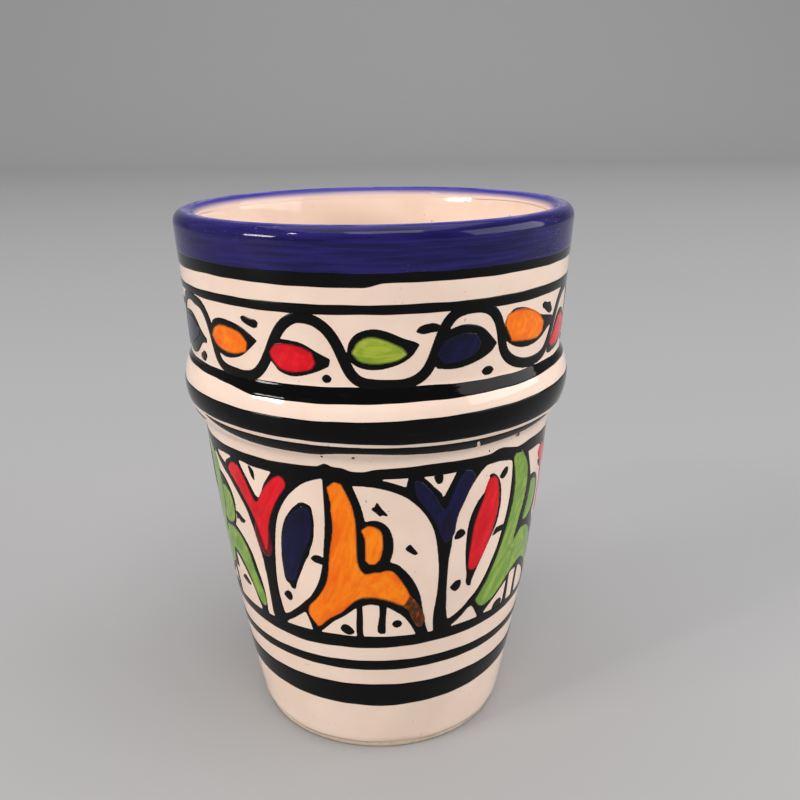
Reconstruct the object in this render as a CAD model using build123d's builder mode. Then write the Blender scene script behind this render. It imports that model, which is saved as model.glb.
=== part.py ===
from build123d import *
import math
import os

# A hand-painted ceramic shot glass, in millimetres. The foot stands on z = 0, the axis is +Z, and the
# first painted figure faces -Y. Angles round the wall are in degrees, 0 at -Y and growing towards +X.
# Painted outlines are lists of (angle, height) points on the wall.

# --- Driving dimensions of the clay body: (radius, height) pairs on its cross-section ---
foot_radius = 15.75
foot_ring_inner_radius = 12.9
foot_recess_depth = 1.5
lower_wall_middle = (19.25, 20.0)
waist = (21.6, 41.4)
bead_crest = (23.62, 45.9)
shoulder = (22.58, 49.5)
lip_centre = (22.63, 65.08)
lip_radius = 1.0
inner_wall_middle = (18.9, 40.0)
inner_wall_bottom = (14.1, 5.0)
inner_floor_fillet = 3.5
edge_fillet = 0.4
bead_fillet = 0.7

# --- Coats laid on the clay ---
glaze_thickness = 0.3
line_thickness = 0.12
colour_thickness = 0.18
bare_foot_height = 0.9
blue_end_inside = 64.6
far_out = 40.0

# --- Bands painted round the wall: lowest and highest edge of each ---
blue_band_low = 61.6
bands = {
    "rim_underline": (60.5, 61.6),
    "vine_top_line": (57.5, 58.6),
    "bead_upper_band": (48.4, 49.7),
    "bead_lower_band": (43.3, 46.4),
    "bead_underline": (41.9, 42.8),
    "panel_top_line": (39.0, 40.2),
    "panel_bottom_line": (16.7, 18.1),
    "foot_thin_band": (13.0, 14.6),
    "foot_wide_band": (7.4, 10.8),
}
vine_low = bands["bead_upper_band"][1]
vine_high = bands["vine_top_line"][0]
panel_low = bands["panel_bottom_line"][1]
panel_high = bands["panel_top_line"][0]

# --- Vine frieze: a waving stem, with a leaf under each crest and over each trough ---
wave_count = 8
wave_angle = 360 / wave_count
first_crest = -18.0
stem_width = 0.95
stem_rise = [(-24.5, 50.05), (-18.5, 50.3), (-14, 51.6), (-10.5, 53.8), (-6, 56.3), (0, 57)]
leaf_count = 2 * wave_count
leaf_spacing = 360 / leaf_count
leaf_centre = (-3.6, 53.7)
leaf_length = 5.2
leaf_height = 2.7
leaf_outline = [
    (-9.6, 53.7), (-8, 54.9), (-3.4, 55.7), (2.6, 55), (7, 53.8), (2.6, 52.2),
    (-3.4, 51.6), (-8, 52.4),
]
drop_under_crest = 0.7
vine_mark_centre = (11.3, 56.2)
vine_mark_length = 1.6
vine_mark_height = 0.7

# --- Panel frieze: arched panels between fork-shaped buds on upright stems ---
# Angles here count from the middle of the panel's figure, or from the stem for a bud.
panel_count = 6
panel_angle = 360 / panel_count
stem_offset = 20.5
line_width = 0.9
thin_line_width = 0.75
outline_width = 0.6

figure_body = [
    (-13.2, 38.3), (-9.6, 37.8), (-7.2, 34.6), (-6.8, 31.3), (-6.6, 28.6), (-4.7, 27.1),
    (0, 27.1), (4.2, 27.2), (8.6, 24.9), (12.3, 22.6), (15.3, 20.4), (13.6, 19.2),
    (10.3, 21), (6, 22.8), (0, 23.7), (-5.5, 23.8), (-11, 22.3), (-17, 20.5),
    (-22.2, 19.2), (-25, 20.7), (-22, 22.7), (-17.7, 25.2), (-16, 28.2), (-14.1, 32.4),
    (-14.2, 36),
]
figure_wing = [(-5.2, 32.6), (-1.6, 33.3), (1.1, 31.9), (0.9, 29.4), (-2.4, 28.3), (-4.2, 29.3)]
petal = [
    (-22.6, 34.9), (-20.2, 34), (-20.6, 31.6), (-24.4, 27.8), (-28.4, 24.6), (-30.9, 24.2),
    (-32.8, 26.1), (-32, 30.4), (-29, 33.4), (-25.2, 35),
]
bud = [
    (-9, 37.9), (-5.4, 37), (-1.9, 34.9), (0, 34.4), (1.6, 35), (4.6, 37.8), (8.2, 38.4),
    (9, 37.7), (5.4, 34.6), (3.4, 32.4), (2.6, 28.4), (0, 27), (-2.4, 28.8), (-3.2, 32),
    (-5.6, 34.6), (-8.8, 36.7),
]
# Each line is the points along its middle, and its width.
panel_lines = [
    ([(-6.5, 38.6), (0, 38.4), (8, 37.3), (15, 34.6), (19, 31), (20, 26), (20.3, 18)], line_width),
    ([(-15.4, 39.2), (-15.3, 34), (-17, 28.2), (-21.5, 23.6), (-28, 21), (-36.5, 18)], line_width),
    ([(-9.5, 39.2), (-6.6, 36), (-5.8, 31.5), (-5.6, 28.2)], line_width),
    ([(-18.2, 39.2), (-26, 37.6), (-32, 34.4), (-36, 29), (-38, 23.5), (-37.2, 18)], line_width),
    ([(-6.4, 23.6), (-7, 18)], thin_line_width),
    ([(0.6, 23.6), (0.4, 18.8)], thin_line_width),
]
# Each mark is its centre, length, height and tilt.
panel_marks = [
    ((-11.3, 19.1), 1.0, 0.75, 0),
    ((5.8, 20.1), 0.9, 0.6, 0),
    ((0.3, 35.2), 1.9, 0.75, -20),
    ((11.5, 29.9), 1.5, 0.7, -25),
    ((-33, 22.4), 0.9, 0.8, 0),
]

os.makedirs("parts", exist_ok=True)


# --- Where a point lies on the wall ---
with BuildLine() as lower_wall:
    ThreePointArc((foot_radius, 0), lower_wall_middle, waist)
lower_wall_centre = lower_wall.edge().arc_center
lower_wall_radius = lower_wall.edge().radius
upper_wall_slope = (lip_centre[0] + lip_radius - shoulder[0]) / (lip_centre[1] - shoulder[1])


def wall_radius(height, distance=glaze_thickness):
    """Radius at this height, at a distance out from the clay, away from the bead and the lip."""
    if height < waist[1]:
        rise = height - lower_wall_centre.Y
        reach = lower_wall_radius + distance
        return lower_wall_centre.X + math.sqrt(reach**2 - rise**2)
    clay = shoulder[0] + (height - shoulder[1]) * upper_wall_slope
    return clay + distance * math.sqrt(1 + upper_wall_slope**2)


def middle_of_wall(height):
    """A radius that always lies inside the clay wall, to part its inside from its outside."""
    share = height / (lip_centre[1] + lip_radius)
    return (1 - share) * (foot_radius + foot_ring_inner_radius) / 2 + share * lip_centre[0]


def wall_plane(angle):
    """Upright plane through the axis whose normal points out of the wall at this angle."""
    turn = math.radians(angle)
    return Plane(
        origin=(0, 0, 0),
        x_dir=(math.cos(turn), math.sin(turn), 0),
        z_dir=(math.sin(turn), -math.cos(turn), 0),
    )


def section_plane(angle):
    """Upright plane through the axis that lies along the radius at this angle, with Z as its Y."""
    facing = wall_plane(angle)
    return Plane(origin=(0, 0, 0), x_dir=facing.z_dir, z_dir=-facing.x_dir)


def seen_flat(points):
    """(angle, height) points on the wall as they look square on, from the side at angle 0."""
    return [(wall_radius(z) * math.sin(math.radians(a)), z) for a, z in points]


# --- Cross-sections, drawn on the XZ plane and turned about Z ---
def profile(distance=0):
    """The cup's cross-section, at a distance out from the clay."""
    lip_outside = (lip_centre[0] + lip_radius, lip_centre[1])
    lip_top = (lip_centre[0], lip_centre[1] + lip_radius)
    lip_inside = (lip_centre[0] - lip_radius, lip_centre[1])
    floor_height = inner_wall_bottom[1]
    recess_edge = foot_ring_inner_radius - foot_recess_depth
    with BuildSketch() as section:
        with BuildLine():
            Polyline(
                (0, floor_height),
                (0, foot_recess_depth),
                (recess_edge, foot_recess_depth),
                (foot_ring_inner_radius, 0),
                (foot_radius, 0),
            )
            ThreePointArc((foot_radius, 0), lower_wall_middle, waist)
            ThreePointArc(waist, bead_crest, shoulder)
            Line(shoulder, lip_outside)
            ThreePointArc(lip_outside, lip_top, lip_inside)
            ThreePointArc(lip_inside, inner_wall_middle, inner_wall_bottom)
            Line(inner_wall_bottom, (0, floor_height))
        make_face()
        if distance > 0:
            offset(amount=distance, mode=Mode.REPLACE)
        for corner, radius in (
            (waist, bead_fillet),
            (shoulder, bead_fillet),
            (inner_wall_bottom, inner_floor_fillet),
        ):
            fillet(section.vertices().sort_by_distance(corner)[0], radius - distance)
        if distance == 0:
            fillet(section.vertices().sort_by_distance((foot_radius, 0))[0], edge_fillet)
    return section.sketch


def coat_section(inner, outer, outline):
    """The layer between two distances out from the clay, inside a closed outline."""
    with BuildSketch() as section:
        add(profile(outer))
        add(profile(inner), mode=Mode.SUBTRACT)
        with BuildSketch(mode=Mode.INTERSECT):
            with BuildLine():
                Polyline(*outline, close=True)
            make_face()
    return section.sketch


def outside_between(low, high):
    """Outline that takes in the outside of the wall between two heights."""
    return [(middle_of_wall(low), low), (far_out, low), (far_out, high), (middle_of_wall(high), high)]


def wall_section(low, high, inner, outer):
    """The layer between two distances out from the clay, on the plain wall between two heights."""
    heights = (low, (low + high) / 2, high)
    with BuildSketch() as section:
        with BuildLine():
            sides = []
            for distance in (inner, outer):
                points = [(wall_radius(z, distance), z) for z in heights]
                if low < waist[1]:
                    sides.append(ThreePointArc(*points))
                else:
                    sides.append(Line(points[0], points[-1]))
            for end in (0, 1):
                Line(sides[0] @ end, sides[1] @ end)
        make_face()
    return section.sketch


def turned(section):
    """A section of (radius, height) stood up on the XZ plane and turned once round the axis."""
    with BuildPart() as ring:
        with BuildSketch(Plane.XZ):
            add(section)
        revolve(axis=Axis.Z)
    return ring.part


def save(part, name):
    part.label = name
    export_step(part, f"parts/{name}.step")


# --- Clay body, glaze and bands ---
top = lip_centre[1] + lip_radius + 1
save(turned(profile()), "clay_body")

lip_seam = (lip_centre[0], top)
outside = [(middle_of_wall(bare_foot_height), bare_foot_height), (far_out, bare_foot_height)]
outside += [(far_out, top), lip_seam, lip_centre]
save(turned(coat_section(0, glaze_thickness, outside)), "glaze_coat")

inside = [(0, inner_wall_bottom[1] - 1), (inner_wall_bottom[0], inner_wall_bottom[1] - 1)]
inside += [lip_centre, lip_seam, (0, top)]
save(turned(coat_section(0, glaze_thickness, inside)), "glaze_lining")

painted = glaze_thickness + line_thickness
over_lip = [(middle_of_wall(blue_band_low), blue_band_low), (far_out, blue_band_low)]
over_lip += [(far_out, top), (0, top), (0, blue_end_inside), (lip_centre[0], blue_end_inside)]
save(turned(coat_section(glaze_thickness, painted, over_lip)), "rim_blue_band")

for name, (low, high) in bands.items():
    save(turned(coat_section(glaze_thickness, painted, outside_between(low, high))), name)

coloured = glaze_thickness + colour_thickness
vine_line_coat = turned(wall_section(vine_low, vine_high, glaze_thickness, painted))
vine_colour_coat = turned(wall_section(vine_low, vine_high, glaze_thickness, coloured))
panel_line_coat = turned(wall_section(panel_low, panel_high, glaze_thickness, painted))
panel_colour_coat = turned(wall_section(panel_low, panel_high, glaze_thickness, coloured))


# --- Painting: flat shapes pushed straight out through a coat ---
def closed_curve(points, margin=0):
    """A smooth outline through points on the wall, listed clockwise, filled in, with a margin."""
    corners = [Vector(*point) for point in seen_flat(points)]
    moved = []
    for number, corner in enumerate(corners):
        along = corners[(number + 1) % len(corners)] - corners[number - 1]
        moved.append(corner + Vector(-along.Y, along.X).normalized() * margin)
    with BuildSketch() as shape:
        with BuildLine():
            Spline(*moved, periodic=True)
        make_face()
    return shape.sketch


def stroke(points, width):
    """A brush line of even width along points on the wall."""
    with BuildSketch() as shape:
        with BuildLine() as middle:
            Spline(*seen_flat(points))
        trace(middle.line, line_width=width)
    return shape.sketch


def oval(centre, length, height, tilt=0):
    """A small oval mark."""
    with BuildSketch() as shape:
        with Locations(Location((*seen_flat([centre])[0], 0), tilt)):
            Ellipse(length / 2, height / 2)
    return shape.sketch


def pushed_out(shapes, angle):
    """Flat shapes seen square on from an angle, pushed out from the axis through the wall."""
    with BuildPart() as block:
        with BuildSketch(wall_plane(angle)):
            add(shapes)
        extrude(amount=far_out)
    return block.part


def painted_on(coat, block):
    """What a pushed-out block leaves on a coat."""
    with BuildPart() as paint:
        add(block)
        add(coat, mode=Mode.INTERSECT)
    return paint.part


def on_bay(part, angle):
    """A copy of a finished piece, moved round the axis to another bay of the pattern."""
    with BuildPart() as copy:
        add(part, rotation=(0, 0, angle))
    return copy.part


def moved_round(points, turn, drop=0):
    """The same points further round the wall, and lower."""
    return [(angle + turn, height - drop) for angle, height in points]


# --- Vine frieze: made once under a crest and once over a trough, then repeated ---
stem_fall = [(-angle, height) for angle, height in reversed(stem_rise[:-1])]
stem_wave = painted_on(vine_line_coat, pushed_out(stroke(stem_rise + stem_fall, stem_width), 0))
vine_mark = oval(vine_mark_centre, vine_mark_length, vine_mark_height)
vine_mark_paint = painted_on(vine_line_coat, pushed_out(vine_mark, wave_angle / 2))
leaf_paints = []
outline_paints = []
for drop in (drop_under_crest, 0):
    leaf_block = pushed_out(oval(*moved_round([leaf_centre], 0, drop), leaf_length, leaf_height), 0)
    leaf_paints.append(painted_on(vine_colour_coat, leaf_block))
    with BuildPart() as outline:
        add(painted_on(vine_line_coat, pushed_out(closed_curve(moved_round(leaf_outline, 0, drop)), 0)))
        add(leaf_block, mode=Mode.SUBTRACT)
    outline_paints.append(outline.part)

with BuildPart() as vine_stem:
    for wave in range(wave_count):
        add(on_bay(stem_wave, first_crest + wave * wave_angle))
save(vine_stem.part, "vine_stem")

with BuildPart() as vine_marks:
    for wave in range(wave_count):
        add(on_bay(vine_mark_paint, first_crest + wave * wave_angle))
save(vine_marks.part, "vine_marks")

with BuildPart() as leaf_outlines:
    for number in range(leaf_count):
        angle = first_crest + number * leaf_spacing
        save(on_bay(leaf_paints[number % 2], angle), f"leaf_{number + 1:02d}")
        add(on_bay(outline_paints[number % 2], angle))
save(leaf_outlines.part, "leaf_outlines")


# --- Panel frieze: one panel made whole, then repeated ---
# Its black lines run from one stem's middle to the next, with half a bud at each end.
sides = (stem_offset - panel_angle, stem_offset)
figure_shapes = [closed_curve(figure_body), closed_curve(figure_wing)]
side_buds = [moved_round(bud, side) for side in sides]
with BuildSketch() as line_shapes:
    for points, width in panel_lines:
        add(stroke(points, width))
    for points in (figure_body, figure_wing, petal, *side_buds):
        add(closed_curve(points, outline_width))
with BuildSketch() as mark_shapes:
    for mark in panel_marks:
        add(oval(*mark))

figure_block = pushed_out(figure_shapes, 0)
petal_block = pushed_out(closed_curve(petal), 0)
bud_blocks = [pushed_out(closed_curve(bud), side) for side in sides]
with BuildPart() as linework:
    with BuildSketch(section_plane(sides[0])):
        add(wall_section(panel_low, panel_high, glaze_thickness, painted))
    revolve(axis=Axis.Z, revolution_arc=panel_angle)
    add(pushed_out(line_shapes.sketch, 0), mode=Mode.INTERSECT)
    for block in (figure_block, petal_block, *bud_blocks):
        add(block, mode=Mode.SUBTRACT)
with BuildPart() as marks:
    add(painted_on(panel_line_coat, pushed_out(mark_shapes.sketch, 0)))
    add(linework.part, mode=Mode.SUBTRACT)

panel_pieces = {
    "linework": linework.part,
    "marks": marks.part,
    "figure": painted_on(panel_colour_coat, figure_block),
    "petal": painted_on(panel_colour_coat, petal_block),
    "bud": painted_on(panel_colour_coat, bud_blocks[1]),
}
with BuildPart() as all_marks:
    for number in range(panel_count):
        for name, piece in panel_pieces.items():
            copy = on_bay(piece, number * panel_angle)
            if name == "marks":
                add(copy)
            else:
                save(copy, f"panel_{number + 1}_{name}")
save(all_marks.part, "panel_marks")
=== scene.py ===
import math

import bpy
import numpy as np
from mathutils import Matrix, Vector


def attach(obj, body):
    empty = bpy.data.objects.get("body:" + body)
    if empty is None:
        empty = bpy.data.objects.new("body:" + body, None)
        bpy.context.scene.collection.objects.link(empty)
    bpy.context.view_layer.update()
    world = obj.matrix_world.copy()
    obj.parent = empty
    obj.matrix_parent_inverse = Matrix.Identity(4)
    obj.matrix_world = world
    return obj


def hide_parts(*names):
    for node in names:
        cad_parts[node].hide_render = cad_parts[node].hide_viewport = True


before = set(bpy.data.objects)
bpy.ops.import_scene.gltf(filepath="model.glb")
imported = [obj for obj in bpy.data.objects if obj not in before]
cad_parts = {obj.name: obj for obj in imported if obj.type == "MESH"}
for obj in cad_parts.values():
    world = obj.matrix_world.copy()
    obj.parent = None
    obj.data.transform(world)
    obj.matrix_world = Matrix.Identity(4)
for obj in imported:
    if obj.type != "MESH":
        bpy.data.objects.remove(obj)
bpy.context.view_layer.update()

# A hand-painted ceramic shot glass. The cup is in millimetres until a mesh is written; the floor, the
# lamps and the camera are in metres. Angles round the wall are in degrees, 0 at the front (-Y) and
# growing towards +X. Painted shapes are lists of (angle, height) points on the wall.
MM = 0.001
rng = np.random.default_rng(7)

# ---------- The cup's profile: up the outside from the foot, over the lip, down to the floor ----------
FOOT_RADIUS = 15.75
LOWER_WALL_MIDDLE = (19.25, 20.0)
WAIST = (21.6, 41.4)
BEAD_CREST = (23.62, 45.9)
SHOULDER = (22.58, 49.5)
LIP_CENTRE = (22.63, 65.08)
LIP_RADIUS = 1.0
INNER_WALL_MIDDLE = (18.9, 40.0)
INNER_WALL_BOTTOM = (14.1, 5.0)
GLAZE = 0.3
BARE_FOOT = 0.9
PROFILE_STEP = 0.1
CORNER_ROUNDING = 9
FLOOR_ROUNDING = 41


def arc(start, middle, end):
    """Points along the circle through three points, from the first to the last."""
    a, b, c = complex(*start), complex(*middle), complex(*end)
    ratio = (c - a) / (b - a)
    centre = a + (b - a) * (ratio - abs(ratio) ** 2) / (2j * ratio.imag)
    radius = abs(a - centre)
    first, through, last = np.angle([a - centre, b - centre, c - centre])
    turn = (last - first) % math.tau
    if (through - first) % math.tau > turn:
        turn -= math.tau
    angles = first + turn * np.linspace(0, 1, max(2, int(abs(turn) * radius / PROFILE_STEP)))
    return np.stack([centre.real + radius * np.cos(angles), centre.imag + radius * np.sin(angles)], 1)


def lengths_along(path):
    """The distance of each point of a path from its start."""
    return np.concatenate([[0], np.cumsum(np.linalg.norm(np.diff(path, axis=0), axis=1))])


def read_along(path, places, lengths):
    """Points of a path at given distances from its start."""
    return np.stack([np.interp(places, lengths, path[:, i]) for i in range(2)], -1)


def resampled(path, step):
    """The same path with points evenly spaced along it."""
    lengths = lengths_along(path)
    return read_along(path, np.linspace(0, lengths[-1], max(2, int(lengths[-1] / step))), lengths)


def rounded(path, window):
    """The same path with its corners eased by a running mean; the ends stay put."""
    half = window // 2
    padded = np.concatenate([2 * path[:1] - path[half:0:-1], path, 2 * path[-1:] - path[-2:-half - 2:-1]])
    kernel = np.ones(window) / window
    return np.stack([np.convolve(padded[:, i], kernel, mode="valid") for i in range(2)], 1)


def path_normals(path):
    """Unit normals to the outside of a path that runs up the outer wall."""
    along = np.gradient(path, axis=0)
    along /= np.linalg.norm(along, axis=1, keepdims=True)
    return np.stack([along[:, 1], -along[:, 0]], 1)


def clay_path():
    """The bare clay from the foot, up the outside, over the lip and down to the middle of the floor."""
    lip_outside = (LIP_CENTRE[0] + LIP_RADIUS, LIP_CENTRE[1])
    lip_top = (LIP_CENTRE[0], LIP_CENTRE[1] + LIP_RADIUS)
    lip_inside = (LIP_CENTRE[0] - LIP_RADIUS, LIP_CENTRE[1])
    outside = np.concatenate([
        arc((FOOT_RADIUS, 0), LOWER_WALL_MIDDLE, WAIST),
        arc(WAIST, BEAD_CREST, SHOULDER)[1:],
        arc(lip_outside, lip_top, lip_inside),
    ])
    inside = np.concatenate([
        arc(lip_inside, INNER_WALL_MIDDLE, INNER_WALL_BOTTOM)[1:],
        [(0, INNER_WALL_BOTTOM[1])],
    ])
    outside = rounded(resampled(outside, PROFILE_STEP), CORNER_ROUNDING)
    inside = rounded(resampled(np.concatenate([outside[-1:], inside]), PROFILE_STEP), FLOOR_ROUNDING)
    return np.concatenate([outside, inside[1:]])


CLAY = clay_path()
GLAZED = CLAY + GLAZE * path_normals(CLAY)
GLAZED[:, 0] = np.maximum(GLAZED[:, 0], 0)
LIP_INDEX = int(np.argmax(GLAZED[:, 1]))
OUTSIDE = GLAZED[:LIP_INDEX + 1]
LIP_HEIGHT = GLAZED[LIP_INDEX, 1]


def undulation(angle, height):
    """How far the hand-dipped glaze stands proud of a true circle."""
    turn = np.radians(angle)
    slow = 0.022 * np.sin(2 * turn + 0.7 + 0.05 * height) + 0.015 * np.sin(3 * turn - 0.11 * height)
    ripple = 0.006 * np.sin(7 * turn + 0.35 * height) + 0.004 * np.sin(1.9 * height + 2 * turn)
    return slow + ripple


def wall_radius(angle, height):
    """Radius of the glazed outside wall."""
    return np.interp(height, OUTSIDE[:, 1], OUTSIDE[:, 0]) + undulation(angle, height)


def placed(radius, angle, height):
    """Points in space at radii, angles and heights."""
    turn = np.radians(angle)
    return np.stack(np.broadcast_arrays(radius * np.sin(turn), -radius * np.cos(turn), height), -1)


# ---------- Mesh writing ----------
# Millimetres along the "wall" attribute for a radian round a turned piece.
WALL_SCALE = 21.0


def write_mesh(name, points, faces, attributes=None):
    mesh = bpy.data.meshes.new(name)
    mesh.from_pydata((np.asarray(points) * MM).tolist(), [], faces)
    mesh.validate()
    mesh.shade_smooth()
    for key, values in (attributes or {}).items():
        values = np.asarray(values, dtype=np.float32)
        kind, field = ("FLOAT", "value") if values.ndim == 1 else ("FLOAT_VECTOR", "vector")
        mesh.attributes.new(key, kind, "POINT").data.foreach_set(field, values.ravel())
    piece = bpy.data.objects.new(name, mesh)
    bpy.context.collection.objects.link(piece)
    return piece


def finish_piece(piece, slot, *nodes, material=None):
    """Gives a piece its material, by default its slot's own, and its place in the frame."""
    piece.data.materials.append(material or MATERIALS[slot])
    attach(piece, "root")
    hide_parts(*nodes)


def grid_faces(rows, columns, closed):
    """Quads over rows of points that wrap round; closed joins the last row to the first as well."""
    index = np.arange(rows * columns).reshape(rows, columns)
    if closed:
        index = np.concatenate([index, index[:1]])
    right = np.roll(index, -1, axis=1)
    return np.stack([index[:-1], right[:-1], right[1:], index[1:]], -1).reshape(-1, 4).tolist()


def turned_piece(name, sections, attributes=None):
    """A ring whose cross-section at each angle is a closed loop of (radius, height) points."""
    radius, height = sections[..., 0], sections[..., 1]
    wall = np.stack([np.radians(ANGLES) * WALL_SCALE + 0 * height, height, radius], -1).reshape(-1, 3)
    points = placed(radius, ANGLES, height).reshape(-1, 3)
    return write_mesh(name, points, grid_faces(*radius.shape, True), {"wall": wall, **(attributes or {})})


def lathe(name, path, moves):
    """A closed surface of revolution whose path starts and ends on the axis."""
    radius = path[1:-1, :1] + moves[1:-1]
    rows, columns = radius.shape
    grid = placed(radius, ANGLES, path[1:-1, 1:]).reshape(-1, 3)
    faces = grid_faces(rows, columns, False)
    start, last = rows * columns, (rows - 1) * columns
    for column in range(columns):
        right = (column + 1) % columns
        faces += [(start, right, column), (start + 1, last + column, last + right)]
    ends = [[0, 0, path[0, 1]], [0, 0, path[-1, 1]]]
    return write_mesh(name, np.concatenate([grid, ends]), faces)


# ---------- The painting: closed outlines as (angle, height) points ----------
def outline(text):
    """Points written as "angle height, angle height, ..."."""
    return [tuple(float(number) for number in pair.split()) for pair in text.split(",")]


def outlines(*texts):
    return [outline(text) for text in texts]


# Unit A: a tall figure with a petal at its left and a bud on the stem at its right.
A_ROOMS = outlines(
    "-16.3 38.9, -19.5 38.55, -22.6 38, -25.2 37.2, -27.9 36.2, -30.2 35, -32.6 33.4, -33.8 32,"
    "-34.6 30.65, -35.5 28.9, -36.1 27.2, -36.7 25.5, -37 23.75, -36.9 22.4, -36.4 21, -35.7 19.55,"
    "-34 19.8, -32.5 20.2, -30 20.95, -28 21.6, -26 22.35, -24 23, -22.2 24, -20.7 25, -19.6 26,"
    "-18.9 27, -18.2 28, -17.5 30, -16.8 32, -16.4 34, -16.3 36",
    "-7.4 38.2, -3.3 38.15, 0 37.95, 4 37.5, 8 36.75, 11.3 35.65, 14 34.4, 16 33.1, 17.3 31.9,"
    "18.2 30.4, 18.8 28.9, 19.3 27.4, 19.5 26, 19.4 24.4, 19.1 22.7, 18.5 21.2, 18.3 19.8, 18.8 18.3,"
    "17 18.2, 16.2 19, 15.6 19.8, 15.6 20.4, 15 21, 14.4 22, 14 23, 13.3 24, 12 25.2, 10 26.5,"
    "8 27.4, 6 28.2, 3.4 28.55, 4.3 29.6, 4.6 30.6, 4.5 31.5, 3.4 32.9, 1.5 33.7, -1 34.05,"
    "-4 33.85, -4.8 35.4, -6 36.8",
    "-21.3 18.2, -19 19, -16 20.05, -14 20.5, -12 21, -10 21.6, -8.4 22.1, -7.8 22.2, -8.1 20.6,"
    "-8.4 18.9, -8.1 18.2",
    "-5.8 22.5, -3.8 22.75, -2 22.75, -0.3 22.6, -0.2 21.5, -0.6 20.4, -1 19.6, -0.9 18.8, 0 18.55,"
    "1.6 18.55, 2 18.9, 1.9 19.8, 2.1 21.2, 2.3 22.4, 4 22, 6 21.5, 8 20.9, 10 19.9, 11.5 18.9,"
    "12.4 18.2, 8 18.15, 2 18.15, -4 18.15, -5.7 18.2, -6 19, -5.7 20.6",
    "-35.6 18.25, -34 18.75, -31.5 19.3, -29 20, -26.6 20.65, -25.8 20, -25 19, -24.5 18.25",
    "-0.8 39.02, 4 39.06, 8.7 39.1, 8.5 38.6, 8.1 37.95, 6 38.3, 3.5 38.68, 1.2 38.93",
    "13.3 39.0, 18 39.05, 23.6 39.1, 22.5 38.2, 21.4 37.4, 20.3 36.6, 19.7 36.2, 19.1 36.7, 18.3 37.1,"
    "16.5 37.7, 15 38.4",
)
A_FIGURE = outline(
    "-15 37.9, -12.7 38.6, -10.7 38.4, -9 37, -7.8 35.8, -7.2 34.6, -6.8 33.2, -6.8 31.3, -6.9 29.8,"
    "-6.8 28.4, -6 27.55, -4.7 27, -3.7 27, -1.3 27.25, -0.2 27.15, 2 27.45, 4 27.4, 5.7 26.7,"
    "7.7 25.5, 9.3 24.4, 9.9 23.75, 8 22.5, 5.7 22.9, 3 23.4, 0.3 23.7, -2.7 23.9, -5.3 23.85,"
    "-8 23.4, -10.3 22.55, -12.7 21.5, -16 20.8, -18.7 20.05, -20.7 19.2, -22 19, -23.2 19.5,"
    "-24.8 20.3, -25.2 21, -24.3 21.9, -22 22.7, -19.7 23.8, -17.7 25.1, -16.5 26.5, -16 28.2,"
    "-15.3 30, -14.3 31.7, -13.8 33.4, -14.3 35, -14 35.8, -14.5 36.9"
)
A_FOOT = outline(
    "8.2 24.2, 9.9 24, 12.3 22.9, 14.3 21.7, 15.7 20.5, 14.7 19.2, 13 19.1, 11.3 20, 10 21.2, 9 22,"
    "6 22.65, 3 23.15, 0 23.5, -3 23.62, -6 23.55, -9 22.85, -12 21.7, -12 22.2, -9 23.4, -6 24, 0 24,"
    "6 23.2"
)
A_WING = outline(
    "-5.3 32.7, -3.3 33.3, -1.3 33.2, 0.7 32.7, 1.2 31.7, 1.2 30.3, 0.3 28.9, -1.3 28.3, -3 28.3,"
    "-4.3 28.8, -4.1 29.8, -4.1 31.2, -4.4 31.95"
)
A_PETAL_RIM = outline(
    "-25.8 35.1, -24.5 35.55, -23.2 35.65, -21.8 35.55, -20.6 35.3, -20.2 34.9, -20 34, -19.9 33.2,"
    "-20.1 32.3, -20.4 31.3, -21 30.5, -22 29.6, -22.6 28.8, -24 28, -25.3 27, -26.3 26.2,"
    "-27.5 25.3, -28.3 24.7, -28.9 24, -29.2 23.65, -30.4 23.55, -31.2 23.8, -31.6 24.2, -32.6 24.4,"
    "-33.3 24.8, -33.4 25.8, -33.5 26.8, -33.3 28.2, -32.8 29.8, -32.2 31, -31.2 32.2, -30 33.2,"
    "-28.3 34.1, -27 34.7"
)
A_PETAL = outline(
    "-25.2 34.6, -23.4 35.1, -21.6 34.9, -20.9 34.2, -21 33, -21.6 31.6, -22.8 30.4, -24.4 29.2,"
    "-26 27.8, -27.6 26.3, -29 25, -30.6 24.7, -32.2 25, -32.8 26, -32.8 27.6, -32.3 29.4,"
    "-31.3 31.2, -29.8 32.7, -27.6 33.9"
)
A_BUD = outline(
    "11.3 38.4, 12.6 38.2, 14.2 37.55, 16.3 36.5, 17.9 35.5, 19.2 34.6, 20.5 34.3, 21.8 35,"
    "22.6 35.8, 23.7 36.9, 25 38.1, 26.8 38.85, 28.4 38.7, 29.7 38.1, 27.9 36.5, 26.1 35, 24.5 33.8,"
    "23.9 32.7, 23.7 31.3, 21.5 30.5, 20 31.3, 18.9 32.55, 17.1 33.8, 15.3 35, 13.2 36, 11.6 37"
)
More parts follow.
